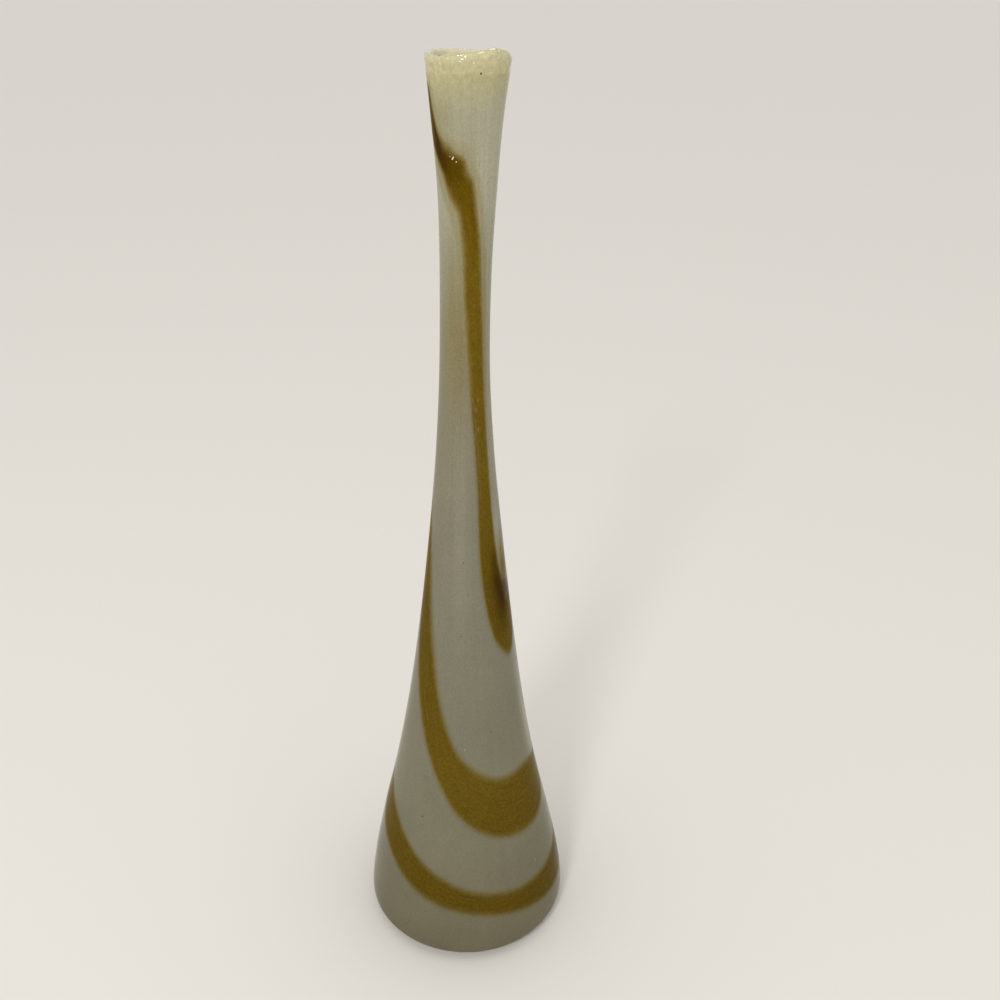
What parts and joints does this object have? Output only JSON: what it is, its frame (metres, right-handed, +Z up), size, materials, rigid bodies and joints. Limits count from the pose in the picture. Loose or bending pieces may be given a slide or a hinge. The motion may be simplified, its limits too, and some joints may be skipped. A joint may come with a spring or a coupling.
{
  "type": "swung glass vase",
  "caption": "Tall free-standing vase: a blown opal vessel drawn out into a slender neck, with an amber swirl worked into its wall and a wavy, clearer lip at the flared mouth.",
  "frame": {"origin": "middle of the standing ring, on the surface the vase stands on", "axes": "+Z up along the neck, -Y towards the viewer of the picture, +X to their right"},
  "size_m": [0.1092, 0.1092, 0.4584],
  "materials": {
    "opal_glass": "milky opal glass, glossy fire-polished surface with fine drawn streaks and small seeds",
    "amber_glass": "olive amber glass, glossy, with soft streaked edges",
    "clear_glass": "pale yellowish translucent glass, fire-polished"
  },
  "bodies": {
    "root": {"opal_body": "opal_glass", "amber_swirl": "amber_glass", "clear_lip": "clear_glass"}
  },
  "joints": []
}
